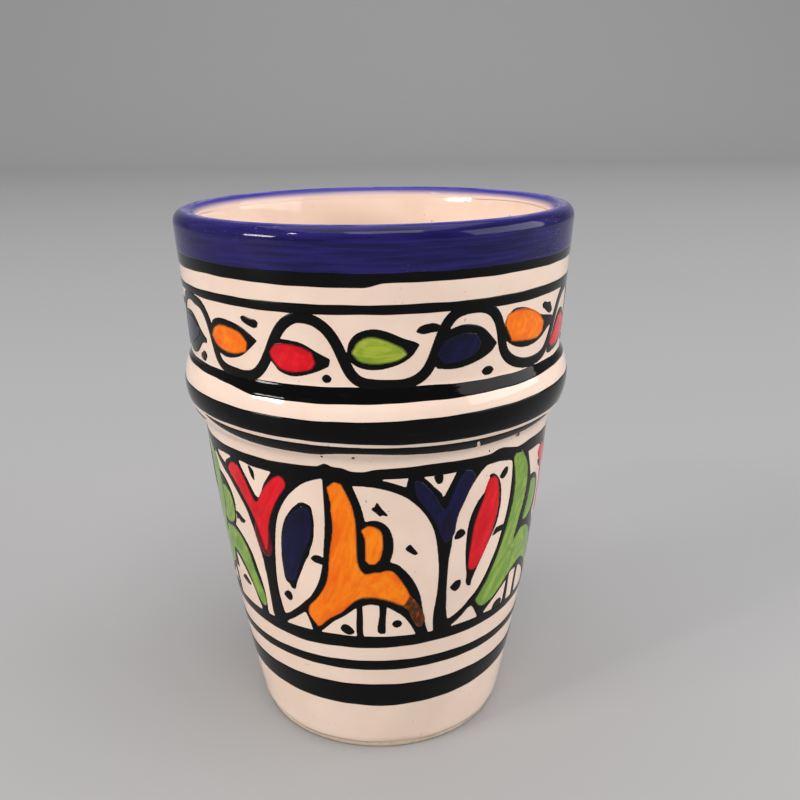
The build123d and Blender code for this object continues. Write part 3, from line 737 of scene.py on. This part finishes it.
def rim_band():
    """The blue rim: up from its wavy lower edge, over the lip and a little way down inside."""
    lower = edge_heights("-75 61.9, -50 61.85, -30 61.75, 0 61.65, 30 61.65, 45 61.7", 0.05)
    lengths = lengths_along(GLAZED)
    lip = lengths[LIP_INDEX]
    start = np.interp(lower, OUTSIDE[:, 1], lengths[:LIP_INDEX + 1])
    turn = np.radians(ANGLES)
    end = lip + RIM_INSIDE_DROP + 0.3 * np.sin(2 * turn + 1) + 0.08 * np.sin(5 * turn)
    share = np.linspace(0, 1, RIM_ROWS)[:, None]
    places = start + (end - start) * (share - 0.035 * np.sin(math.tau * share))
    base = read_along(GLAZED, places, lengths)
    out = read_along(path_normals(GLAZED), places, lengths)
    base[..., 0] += undulation(ANGLES, base[..., 1]) * np.clip((lip - places) / 1.2, 0, 1)
    thinned = eased(np.clip((end - places) / RIM_INSIDE_DROP, 0, 1))
    crown = np.minimum(rise(places - start, LINE_EDGE, 1), thinned)[..., None]
    front = base + out * (-SUNK_EDGE + (LINE_PROUD + 0.03) * crown)
    back = (base - out * BURIED * 2)[-2:0:-1]
    share = (places - lip) / SHARE_LENGTH + LIP_SHARE
    share = np.concatenate([share, share[-2:0:-1]]).ravel()
    piece = turned_piece("rim_blue_band", np.concatenate([front, back]), {"share": share})
    finish_piece(piece, "cobalt_glaze", "rim_blue_band")


rim_band()
band("rim_underline",
     "-75 60.4, -50 60.55, -35 60.5, -15 60.3, -2 60.3, 1.5 60.7, 20 60.75, 60 60.75, 120 60.6",
     "-75 62.15, -50 62.1, -30 62.0, 0 61.9, 30 61.9, 45 61.95")
band("vine_top_line", "-60 57.7, -40 57.6, -20 57.5, 18 57.5, 33 57.4, 50 57.4, 60 57.5",
     "-60 58.65, -20 58.6, 20 58.5, 60 58.65")
band("bead_upper_band", "-70 48.95, -50 48.8, -43 48.6, -34 48.1, 0 48.1, 10 48.2, 45 48.35, 60 48.6",
     "-60 49.85, -30 49.8, 10 49.8, 22 49.65, 60 49.65")
band("bead_lower_band", "-55 44.1, -40 44, -20 43.85, 0 43.62, 20 43.45, 40 43.45, 60 43.5",
     "-60 46.6, -45 46.5, -30 46.35, 0 46.32, 20 46.5, 60 46.75")
band("panel_top_line",
     "-60 38.85, -45 38.85, -34 38.7, -24 39, 45 39, 55 38.55, 62 38.4, 66 38.1, 70 37.3, 76 36.3,"
     "84 37.6, 100 38.8, 180 38.8",
     "-60 40, -45 40.1, -20 40.3, -16.8 40.35, -16 40.85, -14.5 40.85, -13.8 40.45, -10 40.4, -8 39.95,"
     "-4 39.9, -1 40.25, 20 40.5, 36 40.25, 38.5 40.6, 41 40.6, 45 40.2, 48 39.85, 55 40.1, 62 40,"
     "70 39.8, 76 39.4, 100 39.9")
band("panel_bottom_line", "-60 17, -45 16.7, -28 16.3, 0 16.5, 20 16.75, 40 16.95, 60 17.3",
     "-60 18.25, 0 18.2, 40 18.25, 60 18.3")
band("foot_thin_band", "-30 13.2, 0 13.1, 60 13.5, 180 13.4", "-30 14.5, 0 14.6, 60 14.7, 180 14.6")
band("foot_wide_band", "-60 8, -30 7.6, 0 7.4, 30 7.7, 60 8.3, 180 8.2", "-60 10.9, 60 10.9, 180 10.95")

# ---------- Painted shapes: signed distances to outlines on a grid, then thin domed deposits ----------
PITCH = 0.13
PANEL_PITCH = 0.151
FAR = 3.0
WINDOW_MARGIN = 1.5
BRUSH_EDGE = 0.2
ENAMEL_EDGE = 0.6
ENAMEL_PROUD = 0.045
ENAMEL_FILM = 0.012
SHARP_TURN = 0.8
CORNER_REACH = 0.28
CUT_MARGIN = 0.04
EDGE_DIP = 0.012
DEPOSIT_BURIED = 0.04


def cut_corners(points, after):
    """Chaikin's cut: two points a quarter of the way in from the ends of each side."""
    return np.stack([0.75 * points + 0.25 * after, 0.25 * points + 0.75 * after], 1).reshape(-1, 2)


def softened(points):
    """A closed outline smoothed by cutting its corners, with sharp turns kept crisp."""
    before, after = points - np.roll(points, 1, axis=0), np.roll(points, -1, axis=0) - points
    cross = before[:, 0] * after[:, 1] - before[:, 1] * after[:, 0]
    turn = np.abs(np.arctan2(cross, (before * after).sum(1)))
    kept = []
    for point, into, out, sharpness in zip(points, before, after, turn):
        if sharpness > SHARP_TURN:
            kept.append(point - into * min(0.4, CORNER_REACH / (np.hypot(*into) + 1e-9)))
            kept.append(point)
            kept.append(point + out * min(0.4, CORNER_REACH / (np.hypot(*out) + 1e-9)))
        else:
            kept.append(point)
    points = np.array(kept)
    for _ in range(2):
        points = cut_corners(points, np.roll(points, -1, axis=0))
    return points


def signed_distance(points, across, up):
    """Millimetres inside (+) or outside (-) a closed outline."""
    ends = np.roll(points, -1, axis=0)
    x, y = across.reshape(-1, 1), up.reshape(-1, 1)
    nearest = np.full(len(x), np.inf)
    odd = np.zeros(len(x), dtype=bool)
    for first in range(0, len(points), 32):
        (ax, ay), (bx, by) = points[first:first + 32].T, ends[first:first + 32].T
        dx, dy = bx - ax, by - ay
        share = np.clip(((x - ax) * dx + (y - ay) * dy) / (dx * dx + dy * dy + 1e-12), 0, 1)
        away = (x - ax - share * dx) ** 2 + (y - ay - share * dy) ** 2
        nearest = np.minimum(nearest, away.min(1))
        crossed = ((ay > y) != (by > y)) & (x < dx * (y - ay) / np.where(dy == 0, 1e-12, dy) + ax)
        odd ^= crossed.sum(1) % 2 == 1
    return (np.where(odd, 1, -1) * np.sqrt(nearest)).reshape(across.shape)


class Canvas:
    """A periodic grid round the wall that holds how far inside the black linework each point is."""

    def __init__(self, radius, low, high, pitch=PITCH):
        self.radius = radius
        self.pitch = pitch
        self.columns = int(round(math.tau * radius / pitch))
        self.dx = math.tau * radius / self.columns
        self.low = low
        self.rows = int(round((high - low) / pitch)) + 1
        self.black = np.full((self.rows, self.columns), -FAR)

    def flat(self, points):
        points = np.asarray(points, dtype=float)
        return np.stack([np.radians(points[:, 0]) * self.radius, points[:, 1]], 1)

    def patch(self, path, margin):
        """The first column and row, and the grid, of a window round a path."""
        (x0, y0), (x1, y1) = path.min(0) - margin, path.max(0) + margin
        i0, i1 = int(math.floor(x0 / self.dx)), int(math.ceil(x1 / self.dx))
        j0 = max(0, int(math.floor((y0 - self.low) / self.pitch)))
        j1 = min(self.rows - 1, int(math.ceil((y1 - self.low) / self.pitch)))
        grid = np.meshgrid(np.arange(i0, i1 + 1) * self.dx, self.low + np.arange(j0, j1 + 1) * self.pitch)
        return i0, j0, grid

    def shape(self, points, grow=0.0):
        """(first column, first row, distances) for an outline; outside the window it is FAR away."""
        path = softened(self.flat(points))
        i0, j0, grid = self.patch(path, WINDOW_MARGIN + max(grow, 0))
        return i0, j0, signed_distance(path, *grid) + grow

    def stroke(self, points, width):
        """The same for an open stroke of a brush."""
        path = self.flat(points)
        for _ in range(2):
            path = np.concatenate([path[:1], cut_corners(path[:-1], path[1:]), path[-1:]])
        i0, j0, grid = self.patch(path, WINDOW_MARGIN + width / 2)
        there_and_back = np.concatenate([path, path[-2:0:-1]])
        return i0, j0, width / 2 - np.abs(signed_distance(there_and_back, *grid))

    def window(self, shape):
        i0, j0, values = shape
        return np.ix_(np.arange(j0, j0 + len(values)), np.arange(i0, i0 + values.shape[1]) % self.columns)

    def draw(self, shape):
        """Black where the shape is."""
        np.maximum.at(self.black, self.window(shape), shape[2])

    def clear(self, shape):
        """No black where the shape is."""
        place = self.window(shape)
        self.black[place] = np.minimum(self.black[place], -shape[2])

    def sample(self, angle, height):
        """The black field between grid points."""
        x = (np.radians(angle) * self.radius / self.dx) % self.columns
        y = np.clip((height - self.low) / self.pitch, 0, self.rows - 1.001)
        i, j = np.floor(x).astype(int), np.floor(y).astype(int)
        fx, fy = x - i, y - j
        i, right = i % self.columns, (i + 1) % self.columns
        low = self.black[j, i] * (1 - fx) + self.black[j, right] * fx
        high = self.black[j + 1, i] * (1 - fx) + self.black[j + 1, right] * fx
        return low * (1 - fy) + high * fy


def joined(shapes):
    """Several shapes of one canvas as one."""
    i0 = min(i for i, j, values in shapes)
    j0 = min(j for i, j, values in shapes)
    i1 = max(i + values.shape[1] for i, j, values in shapes)
    j1 = max(j + values.shape[0] for i, j, values in shapes)
    together = np.full((j1 - j0, i1 - i0), -FAR)
    for i, j, values in shapes:
        place = np.s_[j - j0:j - j0 + values.shape[0], i - i0:i - i0 + values.shape[1]]
        together[place] = np.maximum(together[place], values)
    return i0, j0, together


def crossings(values, beside, first_id):
    """Sign changes between neighbours: an id for each, where it is and its share of the way across."""
    cut = (values > 0) != (beside > 0)
    ids = np.full(cut.shape, -1)
    ids[cut] = first_id + np.arange(cut.sum())
    j, i = np.nonzero(cut)
    share = values[cut] / (values[cut] - beside[cut])
    return ids, i, j, np.clip(share, CUT_MARGIN, 1 - CUT_MARGIN)


def contour(values, wraps):
    """Marching squares: points in grid units, inside ones first; faces; how many are inside; depths."""
    inside = values > 0
    cells = values.shape[1] - (0 if wraps else 1)
    right = (np.arange(cells) + 1) % values.shape[1]
    count = int(inside.sum())
    ids = np.full(values.shape, -1)
    ids[inside] = np.arange(count)
    j, i = np.nonzero(inside)
    ids_across, i_across, j_across, share_across = crossings(values[:, :cells], values[:, right], count)
    ids_up, i_up, j_up, share_up = crossings(values[:-1], values[1:], count + len(i_across))
    points = np.concatenate([
        np.stack([i, j], 1), np.stack([i_across + share_across, j_across], 1),
        np.stack([i_up, j_up + share_up], 1),
    ])
    corners = [ids[:-1, :cells], ids[:-1, right], ids[1:, right], ids[1:, :cells]]
    sides = [ids_across[:-1], ids_up[:, right], ids_across[1:], ids_up[:, :cells]]
    code = sum((corner >= 0).astype(int) << k for k, corner in enumerate(corners))
    faces = []
    for case in range(1, 16):
        here = code == case
        walk = []
        for k in range(4):
            if case >> k & 1:
                walk.append(corners[k][here])
            if (case >> k & 1) != (case >> (k + 1) % 4 & 1):
                walk.append(sides[k][here])
        faces.extend(np.stack(walk, 1).tolist())
    return points, faces, count, np.concatenate([values[inside], np.zeros(len(points) - count)])


def deposit(name, canvas, shape, proud, slot, nodes, material=None, wraps=False, cover=None):
    """Writes a shape as a closed, thin, raised mesh that follows the wall."""
    i0, j0, values = shape
    if not wraps:
        values = np.pad(values, 1, constant_values=-FAR)
        i0, j0 = i0 - 1, j0 - 1
    grid, faces, inner, depths = contour(values, wraps)
    angle = np.degrees((grid[:, 0] + i0) * canvas.dx / canvas.radius)
    height = canvas.low + (grid[:, 1] + j0) * canvas.pitch
    lift = proud(angle, height, depths)
    lift[inner:] = -EDGE_DIP
    ground = wall_radius(angle, height)
    top = placed(ground + lift, angle, height)
    bottom = placed(ground - DEPOSIT_BURIED, angle, height)[:inner]
    faces += [[k + len(grid) if k < inner else k for k in reversed(face)] for face in faces]
    wall = np.stack([np.radians(angle) * canvas.radius, height, depths], 1)
    over = np.zeros(len(grid)) if cover is None else cover(angle, height)
    piece = write_mesh(name, np.concatenate([top, bottom]), faces, {
        "wall": np.concatenate([wall, wall[:inner]]),
        "over": np.concatenate([over, over[:inner]]),
    })
    finish_piece(piece, slot, *nodes, material=material)


def black_deposit(name, canvas, shape, *nodes, wraps=False):
    def proud(angle, height, depth):
        return rise(depth, BRUSH_EDGE, LINE_PROUD)
    deposit(name, canvas, shape, proud, "black_line", nodes or (name,), wraps=wraps)


def linework(name, canvas, *nodes):
    """All the black of a canvas as one piece that runs right round the cup."""
    black_deposit(name, canvas, (0, 0, canvas.black), *nodes, wraps=True)


def colour_deposit(name, canvas, shape, slot, material=None):
    """Colour laid over the glaze and over the black beside it."""
    def proud(angle, height, depth):
        under = rise(canvas.sample(angle, height), BRUSH_EDGE, LINE_PROUD)
        return under + ENAMEL_FILM + rise(depth, ENAMEL_EDGE, ENAMEL_PROUD)

    def cover(angle, height):
        return eased(np.clip((canvas.sample(angle, height) + 0.10) / 0.22, 0, 1))
    deposit(name, canvas, shape, proud, slot, (name,), material, cover=cover)


def moved(points, turn, seed=None):
    """An outline carried round the wall, redrawn a little differently if a seed is given."""
    across, up = np.array(points, dtype=float).T
    if seed is not None:
        phase = np.random.default_rng(seed).uniform(0, math.tau, 6)
        sway = 0.55 * np.sin(0.16 * up + phase[0]) + 0.35 * np.sin(0.21 * across + phase[1])
        lift = 0.2 * np.sin(0.17 * across + phase[2]) + 0.12 * np.sin(0.5 * up + phase[3])
        across, up = across + sway, up + lift * np.clip(np.minimum(up - 18.6, 38.4 - up) / 2, 0, 1)
    return np.stack([across + turn, up], 1)


def all_moved(shapes, turn, seed):
    return [moved(points, turn, seed) for points in shapes]


# ---------- The vine frieze ----------
vine = Canvas(22.9, 49.4, 58.4)
LEAF_COLOURS = ("red", "green", "navy", "orange")
# Where each kind of leaf was drawn.
LEAF_REFERENCE = {"red": -18.0, "green": 4.5, "navy": 27.0, "orange": -40.5}
FIRST_LEAF, LEAF_SPACING, LEAF_COUNT = -18.0, 22.5, 16
WAVE_START, WAVE_LENGTH = 26, 2 * LEAF_SPACING
STEM_WIDTH = 1.22
STEM_END = (300, 57.1)

# The stem's last seen wave is repeated round the back until it meets its own start.
stem_line = list(STEM)
for lap in range(1, 6):
    wave = [point for point in STEM if WAVE_START < point[0] <= WAVE_START + WAVE_LENGTH]
    stem_line += [(angle + WAVE_LENGTH * lap, height) for angle, height in wave]
stem_line = [point for point in stem_line if point[0] < STEM_END[0] - 2] + [STEM_END]
vine.draw(vine.stroke(stem_line, STEM_WIDTH))

# Leaves 6 to 14 are out of sight in the photograph, so each is a redrawn copy.
leaves = []
for number in range(1, LEAF_COUNT + 1):
    kind = LEAF_COLOURS[(number - 1) % 4]
    angle = FIRST_LEAF + LEAF_SPACING * (number - 1)
    turn = angle - (360 if angle > 180 else 0) - LEAF_REFERENCE[kind]
    seed = 40 + number if 6 <= number <= 14 else None
    fill, rim = LEAVES[kind]
    if number in OWN_LEAVES:
        (fill, rim), turn = OWN_LEAVES[number], 0
    leaves.append((f"leaf_{number:02d}", kind, moved(fill, turn, seed)))
    vine.draw(vine.shape(moved(rim, turn, seed), 0.06))
for name, kind, fill in leaves:
    vine.clear(vine.shape(fill, -0.05))
linework("vine_linework", vine, "vine_stem", "leaf_outlines")

marks = list(VINE_MARKS)
for turn in (90, 180, -90):
    marks += all_moved(VINE_MARKS[:2] + VINE_MARKS[4:], turn, 171 + turn)
black_deposit("vine_marks", vine, joined([vine.shape(mark, 0.05) for mark in marks]))
for name, kind, fill in leaves:
    leaf_green = MATERIALS["green_leaf_enamel"] if kind == "green" else None
    colour_deposit(name, vine, vine.shape(fill, 0.15), kind + "_enamel", leaf_green)


# ---------- The arcade of painted panels ----------
panel = Canvas(20.3, 17.6, 39.8, PANEL_PITCH)
PANEL_TOP, PANEL_BOTTOM = 39.35, 17.75
BUD_GROWTH = {"red": 0.12, "navy": 0.28}
heights = panel.low + np.arange(panel.rows)[:, None] * panel.pitch
panel.black = np.minimum(heights - PANEL_BOTTOM, PANEL_TOP - heights) + np.zeros((1, panel.columns))

# Panels with a seed are out of sight in the photograph, so each is a redrawn copy.
rooms, marks, rims, units = [], [], [], []
for number, turn, seed in ((1, 0, None), (3, 120, 11), (5, -120, 12)):
    rooms += all_moved(A_ROOMS, turn, seed)
    marks += all_moved(A_MARKS, turn, seed)
    rims.append(moved(A_PETAL_RIM, turn, seed))
    units.append({
        "number": number, "colours": ("orange", "navy", "navy"),
        "figure": all_moved((A_FIGURE, A_WING), turn, seed), "foot": all_moved((A_FOOT,), turn, seed),
        "petal": moved(A_PETAL, turn, seed), "bud": moved(A_BUD, turn, seed), "tail": [],
    })
for number, turn, seed in ((2, 0, None), (4, 120, 21), (6, -120, None)):
    rooms += all_moved(B_LEFT_ROOMS, turn, seed) + [moved(B_BUD_ROOM, turn + 120, seed)]
    marks += all_moved(B_LEFT_MARKS, turn, seed) + [moved(B_BUD_MARK, turn + 120, seed)]
    rims.append(moved(B_PETAL_RIM, turn, seed))
    figure = all_moved((B_FIGURE, B_WING), turn, seed)
    if number == 6:
        rooms += LEFT_B_ROOMS
        marks += LEFT_B_MARKS
        upper = [point for point in B_FIGURE if point[0] < 58 or 27 < point[1] and point[0] < 60]
        figure = [moved(upper, turn), LEFT_B_FOOT, moved(B_WING, turn - 3)]
    else:
        rooms += all_moved(B_RIGHT_ROOMS, turn, seed)
        marks += all_moved(B_RIGHT_MARKS, turn, seed)
    units.append({
        "number": number, "colours": ("green", "red", "red"), "figure": figure, "foot": [],
        "petal": moved(B_PETAL, turn, seed), "bud": moved(B_BUD, turn + 120, seed),
        "tail": all_moved((B_BUD_TAIL,), turn + 120, seed),
    })

for room in rooms:
    panel.clear(panel.shape(room))
for rim in rims:
    panel.draw(panel.shape(rim))
for unit in units:
    for part in (unit["petal"], unit["bud"], *unit["figure"]):
        panel.clear(panel.shape(part, -0.04))
linework("panel_linework", panel, *[f"panel_{number}_linework" for number in range(1, 7)])
black_deposit("panel_marks", panel, joined([panel.shape(mark) for mark in marks]))
for unit in units:
    figure, petal, bud = unit["colours"]
    body = [panel.shape(part, 0.1) for part in unit["figure"]]
    body += [panel.shape(part) for part in unit["foot"]]
    top = [panel.shape(unit["bud"], BUD_GROWTH[bud])] + [panel.shape(part, 0.1) for part in unit["tail"]]
    for key, kind, shape in (
        ("figure", figure, joined(body)), ("petal", petal, panel.shape(unit["petal"], 0.12)),
        ("bud", bud, joined(top)),
    ):
        colour_deposit(f"panel_{unit['number']}_{key}", panel, shape, kind + "_enamel")

# ---------- The brush sweep and the spatter under the bead ----------
under_bead = Canvas(21.9, 40.3, 45.0)
# The sweep is drawn three times round the cup, with a short gap between one and the next.
for turn in (0, 121, -119):
    under_bead.draw(under_bead.shape(moved(UNDERLINE, turn), 0.06))
for mark in SPATTER:
    under_bead.draw(under_bead.shape(mark))
under_bead.clear(under_bead.shape(SCRATCH, 0.06))
linework("bead_underline", under_bead)


# ---------- Floor, light and camera, in metres ----------
FLOOR_HALF, FLOOR_BACK, SWEEP_RADIUS, BACKDROP_TOP = 2.5, 1.2, 0.6, 2.0
AIM = Vector((0, 0, 0.04))
CAMERA_PLACE = (0, -0.11492, 0.07746)
CAMERA_DIP, CAMERA_ROLL = 17.54, -0.93


def floor():
    """A pale sweep: flat under the cup, then curving up behind it."""
    finish = Finish("studio_floor", 0.6, 0.15)
    finish.shader.inputs["Base Color"].default_value = colour(166, 166, 167)
    profile = [(-FLOOR_HALF, 0.0)]
    for turn in np.linspace(0, math.pi / 2, 24):
        profile.append((FLOOR_BACK + SWEEP_RADIUS * math.sin(turn), SWEEP_RADIUS * (1 - math.cos(turn))))
    profile.append((FLOOR_BACK + SWEEP_RADIUS, BACKDROP_TOP))
    points = [(x / MM, y / MM, z / MM) for y, z in profile for x in (-FLOOR_HALF, FLOOR_HALF)]
    faces = [(k, k + 1, k + 3, k + 2) for k in range(0, len(points) - 2, 2)]
    piece = write_mesh("studio_floor", points, faces)
    piece.data.materials.append(finish.material)


def lamp(name, azimuth, elevation, distance, size, watts, tint):
    """A soft box that faces the cup; azimuth 0 is the camera's side, growing towards +X."""
    data = bpy.data.lights.new(name, "AREA")
    data.shape = "RECTANGLE"
    (data.size, data.size_y), data.energy, data.color = size, watts, tint
    box = bpy.data.objects.new(name, data)
    a, e = math.radians(azimuth), math.radians(elevation)
    offset = Vector((math.sin(a) * math.cos(e), -math.cos(a) * math.cos(e), math.sin(e))) * distance
    box.location = AIM + offset
    box.rotation_euler = (-offset).to_track_quat("-Z", "Y").to_euler()
    bpy.context.collection.objects.link(box)


def camera():
    """The photograph's camera: just above the rim in front, looking down at the cup."""
    eye = bpy.data.objects.new("camera", bpy.data.cameras.new("camera"))
    bpy.context.collection.objects.link(eye)
    eye.data.sensor_width, eye.data.lens = 36.0, 41.85
    eye.data.shift_x, eye.data.shift_y = 0.0293, 0.0006
    eye.data.clip_start, eye.data.clip_end = 0.005, 20.0
    dip = Matrix.Rotation(math.radians(90 - CAMERA_DIP), 4, "X")
    roll = Matrix.Rotation(math.radians(CAMERA_ROLL), 4, "Z")
    eye.matrix_world = Matrix.Translation(CAMERA_PLACE) @ dip @ roll
    bpy.context.scene.camera = eye


floor()
lamp("key_softbox", -64, 12, 0.9, (0.30, 0.10), 3.6, (1.0, 0.94, 0.88))
lamp("key_small", -50, 38, 0.9, (0.06, 0.05), 0.7, (1.0, 0.97, 0.94))
lamp("fill_softbox", 80, 18, 1.2, (1.2, 0.7), 8.8, (1.0, 0.98, 0.97))
lamp("overhead_softbox", 0, 86, 2.1, (2.6, 2.6), 35, (1.0, 0.98, 0.96))
lamp("front_softbox", 8, 54, 1.2, (0.7, 0.4), 4.0, (1.0, 0.97, 0.93))
world = bpy.data.worlds.new("studio")
bpy.context.scene.world = world
world.use_nodes = True
world.node_tree.nodes["Background"].inputs["Color"].default_value = colour(205, 207, 212)
world.node_tree.nodes["Background"].inputs["Strength"].default_value = 0.45
camera()
bpy.context.scene.view_settings.view_transform = "Standard"
